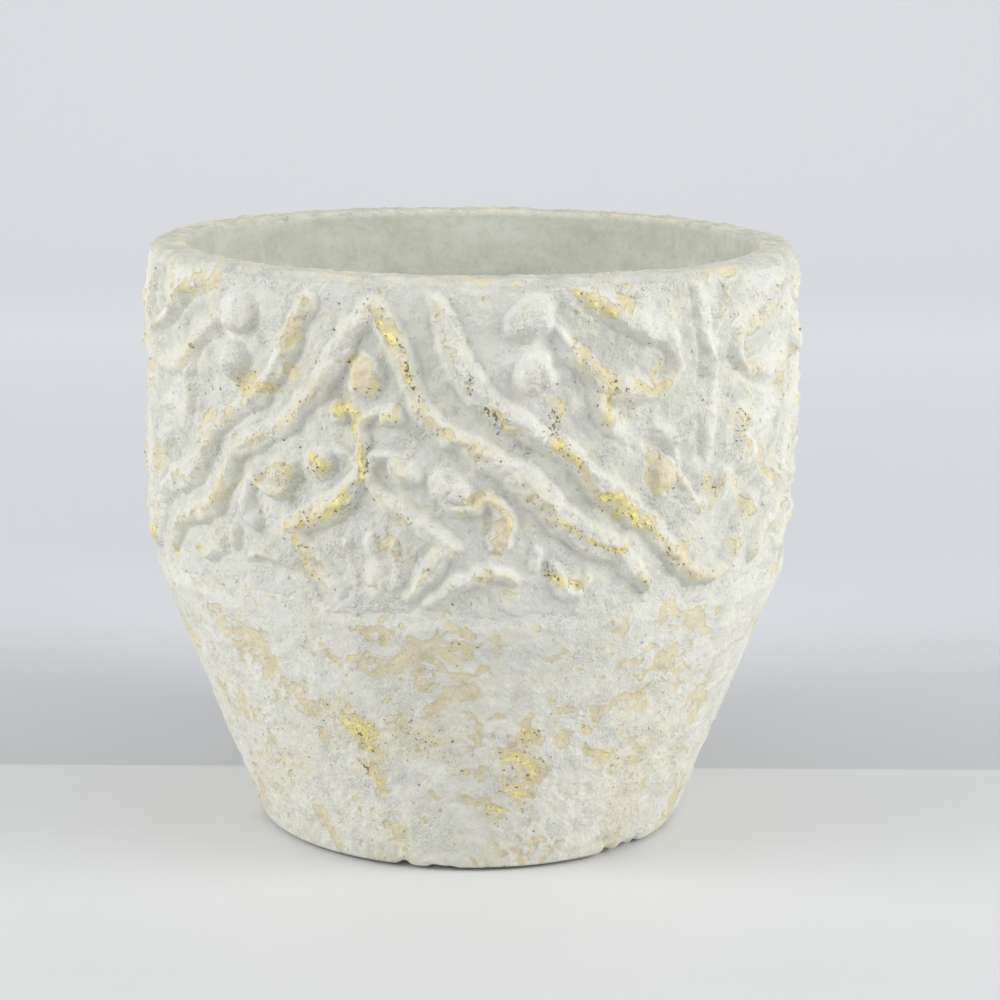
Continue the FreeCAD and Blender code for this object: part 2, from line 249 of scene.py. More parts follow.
def gridNormals(points):
    alongRound = np.roll(points, -1, axis=1) - np.roll(points, 1, axis=1)
    normals = np.cross(alongRound, np.gradient(points, axis=0))
    return normals / np.linalg.norm(normals, axis=2, keepdims=True)


def palmetteAngle(panel):
    middle = sum((corner.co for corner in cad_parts["palmette_%d" % panel].data.vertices), Vector())
    return math.atan2(middle.x, -middle.y)


def placePiece(piece, nodes):
    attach(piece, "root")
    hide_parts(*nodes)
    print(piece.name, len(piece.data.polygons), "faces")


def skinMesh(name, points, normals, fields, wrap):
    mesh = sheetMesh(name, points, wrap)
    for fieldName, field in fields.items():
        mesh.attributes.new(fieldName, "FLOAT", "POINT").data.foreach_set("value", field.astype(np.float32).ravel())
    mesh.normals_split_custom_set_from_vertices(normals.reshape(-1, 3).tolist())
    mesh.materials.append(limeMaterial)
    return mesh


def addPanels(name, points, normals, fields, nodesOf):  # a skin cut into panels
    columns = points.shape[1]
    for panel in panels:
        start = round(palmetteAngle(panel) / (2 * math.pi) * columns - columns / panelCount / 4)  # left of its palmette
        pick = (start + np.arange(columns // panelCount + 1)) % columns
        picked = {fieldName: field[:, pick] for fieldName, field in fields.items()}
        mesh = skinMesh("%s%d" % (name, panel), points[:, pick], normals[:, pick], picked, False)
        placePiece(addPiece(mesh.name, mesh), nodesOf(panel))


# Material helpers

def blankMaterial(name):
    material = bpy.data.materials.new(name)
    material.use_nodes = True
    material.node_tree.nodes.clear()
    return material, material.node_tree


def addNode(tree, kind, inputs=None, **settings):
    node = tree.nodes.new(kind)
    for key, setting in settings.items():
        setattr(node, key, setting)
    for key, source in (inputs or {}).items():
        if isinstance(source, bpy.types.NodeSocket):
            tree.links.new(source, node.inputs[key])
        else:
            node.inputs[key].default_value = source
    return node


def objectCoords(tree, stretch=1):
    coords = addNode(tree, "ShaderNodeTexCoord").outputs["Object"]
    return addNode(tree, "ShaderNodeMapping", {"Vector": coords, "Scale": (1, 1, stretch)}).outputs[0]


def noiseOf(tree, coords, scale, detail, roughness=0.5, distortion=0.0):
    return addNode(tree, "ShaderNodeTexNoise", {
        "Vector": coords, "Scale": scale, "Detail": detail, "Roughness": roughness,
        "Distortion": distortion}).outputs["Fac"]


def mathOf(tree, operation, a, b):
    return addNode(tree, "ShaderNodeMath", {0: a, 1: b}, operation=operation).outputs[0]


def sumOf(tree, start, *terms):  # start, and each source times its weight
    total = start
    for source, weight in terms:
        node = addNode(tree, "ShaderNodeMath", {0: source, 1: weight, 2: total}, operation="MULTIPLY_ADD")
        total = node.outputs[0]
    return total


def edgeOf(tree, source, low, high, most=1.0):  # 0 below low, most above high
    return addNode(tree, "ShaderNodeMapRange", {
        "Value": source, "From Min": low, "From Max": high, "To Max": most}, clamp=True).outputs["Result"]


def mixOf(tree, share, a, b):
    return addNode(tree, "ShaderNodeMix", {0: share, 6: a, 7: b}, data_type="RGBA").outputs[2]


def bumpOf(tree, height, depth, strength):
    return addNode(tree, "ShaderNodeBump", {
        "Height": height, "Distance": depth, "Strength": strength}).outputs["Normal"]


def finishOf(tree, inputs):
    shader = addNode(tree, "ShaderNodeBsdfPrincipled", inputs)
    addNode(tree, "ShaderNodeOutputMaterial", {"Surface": shader.outputs[0]})


# Lime coat: chalky white, flaked to a sand coat, with rubbed gold, dirt and pinholes, and a painted shade: a darker
# grey laid on by a shade field that the skins carry.
# Its fields come with the mesh: a patch shows where flake is over 1
limeCoat = dict(
    white=(0.905, 0.902, 0.853, 1), greyWhite=(0.735, 0.74, 0.68, 1), hollowGrey=(0.54, 0.55, 0.49, 1),
    cream=(0.82, 0.795, 0.665, 1), speckGrey=(0.60, 0.605, 0.54, 1), sand=(0.78, 0.695, 0.46, 1),
    paleSand=(0.83, 0.765, 0.575, 1), gold=(1.0, 0.93, 0.46, 1), leafGold=(1.0, 0.86, 0.33, 1),
    ochre=(0.82, 0.70, 0.32, 1), rubbedSand=(0.79, 0.70, 0.45, 1), dirt=(0.12, 0.115, 0.085, 1),
    jag=1.9, goldPull=0.5, dirtByGold=0.10, dirtByCloud=0.16, dirtByGrime=0.13, dirtShare=0.8,
    holeScale=190, holeWobble=0.12, gritByHollow=0.9, gritLeast=0.28, fleckByHollow=-0.12,
    sandLumps=0.6, sandFine=0.4, metal=0.3, specular=0.25, bumpDepth=0.0006,
    marbleBump=-0.45, gritBump=-0.4, flakeBump=-0.3, dirtBump=-0.7,
)
limeNoises = dict(  # scale, detail, roughness, distortion
    cloud=(45, 9, 0.68), mottle=(130, 9, 0.74), fine=(900, 4, 0.62), speck=(1700, 2, 0.55),
    marble=(230, 9, 0.8, 1.4), clump=(110, 4), lumps=(260, 3), jag=(560, 5, 0.7), leaf=(520, 5, 0.72),
    fleck=(380, 5, 0.72), dirt=(900, 2.5, 0.55), dirtCloud=(70, 3),
)
limeEdges = dict(  # where a layer starts, where it is full, and its most
    flaked=(0.90, 1.06), stain=(-1.5, 1.0, 0.6), rub=(0.62, 0.94, 0.75), dull=(0.90, 0.98, 0.85),
    leaf=(0.98, 1.03), leafGrain=(0.40, 0.58), leafShine=(1.9, -0.15), dirt=(0.80, 0.85),
    holeSize=(0.72, 1.0, 0.10), hole=(0.06, 0.02), cloud=(0.40, 0.72), marble=(0.50, 0.66, 0.6),
    speck=(0.52, 0.66), clump=(0.40, 0.64), fine=(0.44, 0.60, 0.5), mottle=(0.48, 0.64, 0.7),
    fleck=(0.54, 0.64, 0.7), sandGrain=(0.36, 0.62),
)


def makeLimeCoat(name):
    s = named(limeCoat)
    material, tree = blankMaterial(name)
    coords = objectCoords(tree)
    flake, gold, hollow, speckLines = (
        addNode(tree, "ShaderNodeAttribute", attribute_name=field).outputs["Fac"]
        for field in ("flake", "gold", "hollow", "speckLines"))
    noise = {key: noiseOf(tree, coords, *form) for key, form in limeNoises.items()}

    def edge(key, source=None):  # of its own noise, or of another source
        return edgeOf(tree, source or noise[key], *limeEdges[key])

    def times(a, b):
        return mathOf(tree, "MULTIPLY", a, b)

    # flaked patches, ragged at a fine scale, and a stain round them
    level = sumOf(tree, -s.jag / 2, (flake, 1.0), (noise["jag"], s.jag))
    flaked = edge("flaked", level)

    # rubbed gold leaf, broken up by its own grain: a sand rub, then dull gold, then bright leaf
    goldLevel = sumOf(tree, noise["leaf"], (gold, s.goldPull))
    leaf = edge("leaf", goldLevel)

    # dirt flecks that gather by the gold, and pinholes painted dark as the shade in them
    dirtLevel = sumOf(
        tree, noise["dirt"], (gold, s.dirtByGold), (noise["dirtCloud"], s.dirtByCloud), (speckLines, s.dirtByGrime))
    holeCells = addNode(tree, "ShaderNodeTexVoronoi", {"Vector": coords, "Scale": s.holeScale, "Randomness": 1.0})
    holePick = addNode(tree, "ShaderNodeSeparateColor", {"Color": holeCells.outputs["Color"]}).outputs[0]
    holeGap = sumOf(
        tree, holeCells.outputs["Distance"], (noise["fine"], s.holeWobble), (edge("holeSize", holePick), -1.0))
    dirtAndPitShade = mathOf(tree, "MAXIMUM", edge("dirt", dirtLevel), edge("hole", holeGap))

    grit = times(edge("speck"), edge("clump"))
    # grit specks, laid thicker where the painted shade is deeper
    gritShare = times(grit, sumOf(tree, s.gritLeast, (hollow, s.gritByHollow)))
    fleckLevel = sumOf(tree, noise["fleck"], (hollow, s.fleckByHollow))
    sandLevel = sumOf(tree, 0.0, (noise["lumps"], s.sandLumps), (noise["fine"], s.sandFine))
    sand = mixOf(tree, edge("sandGrain", sandLevel), s.paleSand, s.sand)
    brightGold = mixOf(tree, edge("leafGrain", noise["fine"]), s.leafGold, s.gold)
    # the shade field lays a painted shade of darker grey over the white
    colour = s.white
    for share, tint in (
            (edge("cloud"), s.greyWhite), (edge("marble"), s.greyWhite), (gritShare, s.speckGrey),
            (edge("fine"), s.greyWhite), (hollow, s.hollowGrey), (edge("mottle"), s.cream),
            (edge("stain", level), s.cream), (edge("fleck", fleckLevel), s.paleSand), (flaked, sand),
            (edge("rub", goldLevel), s.rubbedSand), (edge("dull", goldLevel), s.ochre), (leaf, brightGold),
            (times(dirtAndPitShade, s.dirtShare), s.dirt)):
        colour = mixOf(tree, share, colour, tint)

    height = sumOf(
        tree, noise["fine"], (noise["marble"], s.marbleBump), (grit, s.gritBump), (flaked, s.flakeBump),
        (dirtAndPitShade, s.dirtBump))
    finishOf(tree, {
        "Base Color": colour, "Metallic": times(leaf, s.metal), "Roughness": edge("leafShine", leaf),
        "Normal": bumpOf(tree, height, s.bumpDepth, 1.0), "Specular IOR Level": s.specular})
    return material


# Plain finishes. A noise is its stretch up the pot, scale, detail, roughness and distortion. A layer is its noise,
# edge and tone
plainFinishes = dict(
    bareCast=dict(  # grey-green inside, mottled, with faint trowel bands
        tone=(0.685, 0.69, 0.617, 1), roughness=0.92, specular=0.2, depth=0.00025, strength=0.8,
        noises=dict(cloud=(3.2, 30, 5, 0.55, 0.4), fine=(1, 700, 4, 0.6), blotch=(1, 90, 6, 0.66),
                    spots=(1, 420, 5, 0.7)),
        layers=(("cloud", (0.35, 0.68), (0.57, 0.58, 0.487, 1)),
                ("blotch", (0.52, 0.74, 0.5), (0.46, 0.47, 0.378, 1)),
                ("spots", (0.52, 0.68, 0.45), (0.46, 0.47, 0.378, 1)),
                ("spots", (0.46, 0.34, 0.45), (0.685, 0.69, 0.617, 1))),
        bump=dict(blotch=1.0, fine=0.5)),
    innerSealer=dict(  # the same grey-green, a little deeper and smoother
        tone=(0.60, 0.61, 0.52, 1), roughness=0.6, specular=0.35, depth=0.0002, strength=0.6,
        noises=dict(strokes=(6, 45, 4, 0.55, 0.3)),
        layers=(("strokes", (0.35, 0.68), (0.52, 0.53, 0.44, 1)),), bump=dict(strokes=1.0)),
    padFelt=dict(  # dark, fibrous
        tone=(0.03, 0.028, 0.025, 1), roughness=1.0, specular=0.5, depth=0.0002, strength=1.0,
        noises=dict(fibre=(1, 1800, 5, 0.7)),
        layers=(("fibre", (0.0, 1.0), (0.10, 0.095, 0.085, 1)),), bump=dict(fibre=1.0)),
)


def makePlain(name):
    s = named(plainFinishes[name])
    material, tree = blankMaterial(name)
    noise = {key: noiseOf(tree, objectCoords(tree, form[0]), *form[1:]) for key, form in s.noises.items()}
    colour = s.tone
    for key, edge, tone in s.layers:
        colour = mixOf(tree, edgeOf(tree, noise[key], *edge), colour, tone)
    height = sumOf(tree, 0.0, *((noise[key], weight) for key, weight in s.bump.items()))
    finishOf(tree, {
        "Base Color": colour, "Roughness": s.roughness, "Specular IOR Level": s.specular,
        "Normal": bumpOf(tree, height, s.depth, s.strength)})
    return material


limeMaterial = makeLimeCoat("limeCoat")
castMaterial, sealerMaterial, feltMaterial = (makePlain(name) for name in plainFinishes)
print("materials made")


# How the lime coat lies on any of its surfaces: lumps, scabs, flaked steps, dents and bubbles
coatForm = dict(
    grains=((0.18, 4.5, 0), (0.17, 1.5, 1), (0.14, 0.75, 2)),  # lumps, crumbs and grit: weight, size, seed
    flakeGrains=((0.62, 0.8, 0), (0.5, 2.0, 1)), flakeEdge=(0.85, 1.15), flakeStep=0.22,
    scabGrains=((1, 1.3, 0), (0.5, 3.5, 1)), scabBelow=0.75, scabEdge=(-0.14, 0.14), scabRise=0.12,
    areaPerDent=170, dentSizes=(0.5, 1.0), dentDepth=0.6,
    areaPerBubble=240, bubbleSizes=(0.9, 1.5), bubbleRise=0.26,
)


def flakeField(g, steer, seed):  # over 1 where the coat has flaked
    return grainsOf(g, coatForm["flakeGrains"], seed) + steer


def coatField(g, flake, scabSeed, seed):  # how far the coat stands out, in millimetres
    s = named(coatForm)
    scab = grainsOf(g, s.scabGrains, scabSeed) - s.scabBelow  # over 0 on thin scabs of a second coat
    field = grainsOf(g, s.grains, seed)
    field += s.scabRise * eased(*s.scabEdge, scab)
    field -= s.flakeStep * eased(*s.flakeEdge, flake)
    dents = scatterMarks(g, s.areaPerDent, seed + 4, s.dentSizes, dent)
    rings = scatterMarks(g, s.areaPerBubble, seed + 5, s.bubbleSizes, bubble)
    return field + s.dentDepth * dents + s.bubbleRise * rings


# Turned outlines, in millimetres

def runOf(start, end, step):  # points along a straight run, without its end
    count = max(1, round(math.dist(start, end) / step))
    return [tuple(a + (b - a) * index / count for a, b in zip(start, end)) for index in range(count)]


def arcOf(centre, radius, fromTurn, toTurn, count):
    turns = np.linspace(fromTurn, toTurn, count + 1)[:-1]
    return [(centre[0] + radius * math.cos(turn), centre[1] + radius * math.sin(turn)) for turn in turns]


def pushedPoints(g, push, lowest=-math.inf):  # a skin's cells moved outwards, in metres, angle 0 at the front
    tangent = np.gradient(g.outline, axis=0)
    tangent /= np.linalg.norm(tangent, axis=1, keepdims=True)
    radius = g.radius + push * tangent[:, 1:]
    height = np.maximum(g.height - push * tangent[:, :1], lowest)
    return np.stack([radius * np.sin(g.angles), -radius * np.cos(g.angles), height], axis=-1) * mm


# Relief of the band. The solid motifs are read as a height map, then drawn up into crests with hollow
# flanks as wet slip is, and worn
reliefForm = dict(
    rayReach=30, crestPower=2.0, crestReach=2.5, leastTop=0.01, soften=0.45, crestShare=0.62,
    swell=3.0, swellShare=0.16, smallGain=0.45, smallRise=1.5, fullRise=5,
    sharpen=((0.25, 5.0), (0.24, 1.8)), sprayShare=0.24, spraySoften=1.8, foldGain=1.3,
    neckAcross=64.4, neckDrop=20.6, neckHigh=2.4, neckWide=8, neckWear=0.8,
    tongueWide=12, tongueFade=(120, 114), tongueWear=0.72,
    flankAcross=154, flankWide=24, flankWear=0.35, knee=2.4, kneeSpan=1.7,
    strayUp=((1.3, 9.0, 11), (0.36, 1.8, 14)), strayRound=((1.3, 9.0, 12), (0.36, 1.8, 15)),
    uneven=((0.15, 6, 13), (0.08, 2.2, 16)), footLeast=0.02, footRise=0.5, footSpread=0.4,
    footSoften=0.35, groove=0.16, grooveChance=(5, 17, -0.6, 0.8), top=194.0, topGap=1.5,
    fullHeight=3.2, crestEdge=(0.35, 1.3), crestAround=2.6,
)
motifs = ("ogee_arch", "ogee_valley", "palmette", "side_scrolls", "crown_spray")
laidMotifs, hangingMotifs = motifs[:4], motifs[4:]


def motifNodes(panel):
    return ["%s_%d" % (motif, panel) for motif in motifs]


def motifHeights(g, kinds, wallRows):  # height over the wall, read by rays from outside on one panel's width
    corners = []
    faces = []
    for panel in panels:
        for kind in kinds:
            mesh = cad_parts["%s_%d" % (kind, panel)].data
            start = len(corners)
            corners += [corner.co / mm for corner in mesh.vertices]
            faces += [[start + index for index in face.vertices] for face in mesh.polygons]
    tree = BVHTree.FromPolygons(corners, faces)
    reach = reliefForm["rayReach"]
    start = wallRadius + reach
    once = np.zeros((wallRows, g.shape[1] // panelCount))
    for column, angle in enumerate(g.angles[:once.shape[1]]):
        outward = Vector((math.sin(angle), -math.cos(angle), 0))
        for row, height in enumerate(g.outline[:wallRows, 1]):
            hit = tree.ray_cast(outward * start + Vector((0, 0, height)), -outward, reach)[3]
            if hit is not None:
                once[row, column] = reach - hit
    field = np.zeros(g.shape)
    field[:wallRows] = np.tile(once, (1, panelCount))
    return field


def highestNear(field, reach):  # highest value within reach cells
    highest = field.copy()
    for up in range(-reach, reach + 1):
        for along in range(-reach, reach + 1):
            if up * up + along * along <= reach * reach:
                highest = np.maximum(highest, np.roll(field, (up, along), axis=(0, 1)))
    return highest


def awayFrom(g, panel, turned=0.0):  # millimetres round the wall from a palmette, or from a place turned from it
    turn = (g.angles - palmetteAngle(panel) - turned + math.pi) % (2 * math.pi) - math.pi
    return np.repeat(np.abs(turn)[None, :] * wallRadius, g.shape[0], axis=0)


def neckField(g):  # 1 where the twin buds beside each crown are pinched apart
    s = named(reliefForm)
    gap = np.min([np.abs(awayFrom(g, panel, crownTurn) - s.neckAcross) for panel in panels], axis=0)
    fromNeck = g.height - rimHeight + s.neckDrop
    return np.exp(-(fromNeck / s.neckHigh) ** 2) * np.exp(-(gap / s.neckWide) ** 4)


def tongueField(g):  # 1 on the worn tongues at the foot of each palmette
    s = named(reliefForm)
    low = eased(*s.tongueFade, g.height)
    return sum(np.exp(-(awayFrom(g, panel) / s.tongueWide) ** 4) * low for panel in panels)


# rounded bosses of each panel, left and right: across from the palmette, height, half width, half height, rise
budLobes = [
    (48.0, 188.0, 9.2, 7.2, 4.8), (49.5, 172.5, 6.8, 6.6, 4.6), (0.0, 169.8, 5.0, 7.4, 3.8),
    (13.8, 140.5, 4.5, 5.2, 3.0), (27.6, 136.5, 5.0, 6.0, 3.2), (93.0, 138.0, 5.2, 7.8, 3.6),
]

def lobeField(g):
    field = np.zeros(g.shape)
    for panel in panels:
        away = awayFrom(g, panel)
        for across, middle, halfWidth, halfHeight, rise in budLobes:
            gap = ((away - across) / halfWidth) ** 2 + ((g.height - middle) / halfHeight) ** 2
            field = np.maximum(field, rise * np.sqrt(np.clip(1 - gap, 0, 1)))
    return field


# folds of the hanging spray, the same left and right: across from its stalk, height, twice, half width, rise
sprayFolds = [
    (49, 198, 38, 190, 3.0, 1.8), (38, 190, 28, 182, 3.2, 2.2), (28, 182, 17, 178, 3.2, 2.4),
    (17, 178, 14, 170.5, 3.0, 2.6), (14, 170.5, 22, 165, 3.0, 2.6), (22, 165, 36, 165.5, 3.0, 2.4),
    (54, 182, 43, 172, 3.0, 2.2), (43, 172, 36, 165.5, 3.0, 2.4), (55, 190, 40, 180, 3.8, -2.2),
    (40, 180, 32, 175.5, 4.2, -2.8), (32, 175.5, 22, 172.5, 4.2, -3.2), (41, 165, 40, 152, 3.4, 1.8),
    (9.5, 197, 4.5, 184, 3.0, 2.2), (4.5, 184, 0, 176, 3.2, 2.4), (0, 176, 0, 145, 3.4, 2.2),
    (14, 195, 12, 186, 4.0, -2.6), (8, 180, 8, 168, 3.2, -3.2), (8, 168, 14, 160, 3.8, -3.2),
    (14, 160, 25, 156.5, 3.6, -2.6), (9.5, 151, 8, 139, 4.2, -3.2), (8, 139, 2, 132, 3.4, -2.2),
    (24, 155, 17, 149, 3.4, 2.4), (17, 149, 15, 139, 3.2, 2.2), (15, 139, 7, 130, 3.2, 2.4),
    (7, 130, 1, 126, 3.2, 2.2), (51, 170, 47, 156, 4.6, -2.0), (47, 156, 40, 146, 4.6, -2.2),
    (40, 146, 31, 138, 4.4, -2.2), (31, 138, 23, 128.5, 3.6, -2.0), (23, 128.5, 11, 121.5, 3.6, -2.0),
    (41, 136, 21, 123.5, 3.0, 1.2),
]

def foldField(g):
    ridges = np.zeros(g.shape)
    hollows = np.zeros(g.shape)
    for panel in panels:
        away = awayFrom(g, panel, crownTurn)
        for stroke in sprayFolds:
            fold = stroke[5] * np.exp(-(strokeGap(stroke, away, g.height) / stroke[4]) ** 2)
            ridges = np.maximum(ridges, fold)
            hollows = np.minimum(hollows, fold)
    return reliefForm["foldGain"] * (ridges + hollows)


def reliefOf(g, wallRows):  # the pattern in millimetres, and what its wear goes by
    s = named(reliefForm)
    raised = motifHeights(g, laidMotifs, wallRows)
    spray = motifHeights(g, hangingMotifs, wallRows)
    raised *= (1 - s.neckWear * neckField(g)) * (1 - s.tongueWear * tongueField(g))
    print("relief read", g.shape, "highest", round(raised.max(), 2))

    # every line strays as a hand does
    rowGrid, columnGrid = np.mgrid[0:g.shape[0], 0:g.shape[1]].astype(float)
    rowGrid += g.cell * grainsOf(g, s.strayUp)
    columnGrid += g.cell * grainsOf(g, s.strayRound)
    folds = s.sprayShare * blurred(g, spray, s.spraySoften) + foldField(g)
    raised, folds, lobes = (lookUp(field, rowGrid, columnGrid) for field in (raised, folds, lobeField(g)))

    # crests with hollow flanks, over a soft swell
    top = np.maximum(highestNear(raised, round(s.crestReach * g.cell)), s.leastTop)
    gain = (np.clip(top, s.smallRise, s.fullRise) / s.fullRise) ** -s.smallGain
    crests = blurred(g, gain * top * (raised / top) ** s.crestPower, s.soften)
    swell = blurred(g, raised, s.swell)
    relief = s.crestShare * crests + s.swellShare * swell
    for share, reach in s.sharpen:
        relief += share * (relief - blurred(g, relief, reach))
    relief += folds

    # worn tops, so that nothing stands up in a spike, and a groove along each foot
    over = np.maximum(relief - s.knee, 0)
    relief = np.minimum(relief, s.knee) + s.kneeSpan * np.tanh(over / s.kneeSpan)
    relief = np.maximum(relief, blurred(g, lobes, s.soften))
    relief *= 1 + grainsOf(g, s.uneven)
    foot = np.exp(-((raised - s.footRise) / s.footSpread) ** 2) * (raised > s.footLeast)
    relief -= s.groove * blurred(g, foot, s.footSoften) * chanceOf(g, *s.grooveChance)
    relief *= 1 - eased(s.top, rimHeight - s.topGap, g.height)
    relief *= 1 - s.flankWear * np.exp(-((np.abs(g.across) - s.flankAcross) / s.flankWide) ** 2)
    crest = eased(*s.crestEdge, crests - blurred(g, crests, s.crestAround))
    return SimpleNamespace(
        relief=relief, folds=folds, swell=swell, crest=crest, ridge=np.clip(relief / s.fullHeight, 0, 1))


# Upper skin: the relief band and the rim, worn as listed on the front and by chance round the back.
# A chance is a grain's size and seed, and where its patches start and are full
upperSkin = dict(
    columns=1230, step=0.55, low=91.5, mouthRadius=96.0, rimRound=2.4, rimSteps=7,
    lipRound=2.0, lipSteps=6,
    bore=((0.1, 0), (0.12, 0.9), (0.12, 1.8), (0.1, 2.7), (0.02, 3.6), (-0.2, 4.6)),  # proud of the mouth, drop
    coat=0.6, coatRise=(95, 106), leastCoat=0.12, rimThin=3, wallCoat=0.8, ridgeCoat=0.7,
    rimCoat=0.7, chipDepth=0.9, chipChance=(2.5, 92, 1.0, 2.2), smoothFrom=1.6, smoothFull=0.4,
    ledgeHeight=95.0, ledgeGrains=((1.6, 7, 19), (0.9, 1.6, 20)), ledgeTop=96.3, ledgeBelow=2.6,
    ledgeAbove=2.4, tuck=1.1, castSize=1.2, castSeed=29, castStray=1.5, castRows=2,
)
bandWear = dict(
    bend=(1.0, 2.5, 25), goldGain=1.04, goldReach=(0.25, 2.0), backGold=(6, 23, 0.9, 1.7),
    ridgeTop=(0.35, 0.75), topGold=0.72, topChance=(7, 22, -0.6, 1.2), evenGold=0.82, crestGold=0.18,
    peachReach=(0.5, 1.4), backPeach=(5, 24, 0.9, 1.7), peachEven=0.9, peachRidge=0.1,
    peachEdge=(0.12, 0.4), wornSize=9, wornSeed=81, flakeGain=2.1, flakeBelow=1.05,
    rubFlake=1.25, rubEdge=(-0.8, 1.2), lipIn=1.5, lipWide=1.0, lipFlake=1.9, lipWorn=(-1.1, 0.5),
    outerIn=1.2, outerWide=1.3, outerDrop=4.5, outerFlake=1.3, outerWorn=(-0.6, 1.0),
    rimFlake=0.6, spotFlake=3.8, spotEdge=(1.05, 0.85), spotRing=0.8, ringOuter=(1.9, 1.2),
    ringInner=(0.95, 1.1), pressFrom=0.3, pressMost=2, hollow=0.31, hollowByPress=0.19,
    hollowByRidge=0.20, hollowBySwell=0.13, swellPart=0.5, hollowRange=(0.10, 0.74), rimHollow=0.74,
    farHollow=0.82, farFrom=1.5, farFull=4, grimeReach=(0.4, 2.2), backGrime=0.8,
    grimeChance=(2.5, 27, 1.2, 2.0), grimeByGold=0.25,
)


def upperOutline():  # (radius, height) up the wall, over the rim and into the mouth
    s = named(upperSkin)
    rim = s.rimRound
    lip = s.lipRound
    mouth = s.mouthRadius
    wall = [(wallRadius, height) for height in np.arange(s.low, rimHeight - rim, s.step)]
    over = arcOf((wallRadius - rim, rimHeight - rim), rim, 0, math.pi / 2, s.rimSteps)
    over += runOf((wallRadius - rim, rimHeight), (mouth + lip, rimHeight), s.step)
    over += arcOf((mouth + lip, rimHeight - lip), lip, math.pi / 2, math.pi, s.lipSteps)
    bore = [(mouth - proud, rimHeight - lip - drop) for proud, drop in s.bore]
    return np.array(wall + over + bore), len(wall), len(wall) + len(over)


def upperWear(g, form, isWall, outerEdge):
    s = named(bandWear)
    bentAcross, bentHeight = bentPlaces(g, *s.bend)
    rubbed = s.goldGain * strokeField(bandGold, bentAcross, bentHeight, *s.goldReach)
    rubbed = np.maximum(rubbed, g.back * chanceOf(g, *s.backGold) * form.crest)
    onTop = eased(*s.ridgeTop, form.ridge)
    rubbed = np.maximum(rubbed, s.topGold * chanceOf(g, *s.topChance) * onTop) * isWall
    gold = rubbed * (s.evenGold + s.crestGold * form.crest)

    peach = strokeField(bandPeach, bentAcross, bentHeight, *s.peachReach)
    peach = np.maximum(peach, g.back * chanceOf(g, *s.backPeach)) * isWall
    peach *= s.peachEven + s.peachRidge * eased(*s.peachEdge, form.ridge)
    worn = grain(g, s.wornSize, s.wornSeed)
    lipEdge = np.exp(-((g.radius - upperSkin["mouthRadius"] - s.lipIn) / s.lipWide) ** 2) * ~isWall
    steer = s.flakeGain * peach - s.flakeBelow
    steer += s.rubFlake * np.maximum(form.crest * eased(*s.rubEdge, worn), rubbed ** 2)
    steer += s.lipFlake * lipEdge * eased(*s.lipWorn, worn)
    steer += s.outerFlake * outerEdge * eased(*s.outerWorn, worn) + s.rimFlake * ~isWall
    for across, middle, halfWidth, halfHeight in peachSpots:
        gap = np.hypot((bentAcross - across) / halfWidth, (g.height - middle) / halfHeight)
        steer += s.spotFlake * eased(*s.spotEdge, gap)
        steer -= s.spotRing * eased(*s.ringOuter, gap) * eased(*s.ringInner, gap)

    # painted shade: a base shade over the band, deeper in pressed folds and below the soft swell, lighter on ridges; a
    # fixed painted shade over the rim, deeper on its far side
    pressed = np.clip(-form.folds - s.pressFrom, 0, s.pressMost)
    hollow = s.hollow + s.hollowByPress * pressed - s.hollowByRidge * form.ridge
    hollow += s.hollowBySwell * (s.swellPart * form.swell - form.relief)
    hollow = np.where(isWall, np.clip(hollow, *s.hollowRange), s.rimHollow)
    farRim = g.back * eased(wallRadius - s.farFrom, wallRadius - s.farFull, g.radius) * ~isWall
    # more dark specks along listed lines down the right and lower sides of ridges, and round the gold on the back
    speckLines = strokeField(bandSpeckLines, bentAcross, bentHeight, *s.grimeReach)
    byGold = s.backGrime * g.back * chanceOf(g, *s.grimeChance) * (rubbed > s.grimeByGold)
    return {
        "gold": gold, "flake": flakeField(g, steer, seed=41),
        "hollow": np.maximum(hollow, s.farHollow * farRim), "speckLines": np.maximum(speckLines, byGold) * isWall}


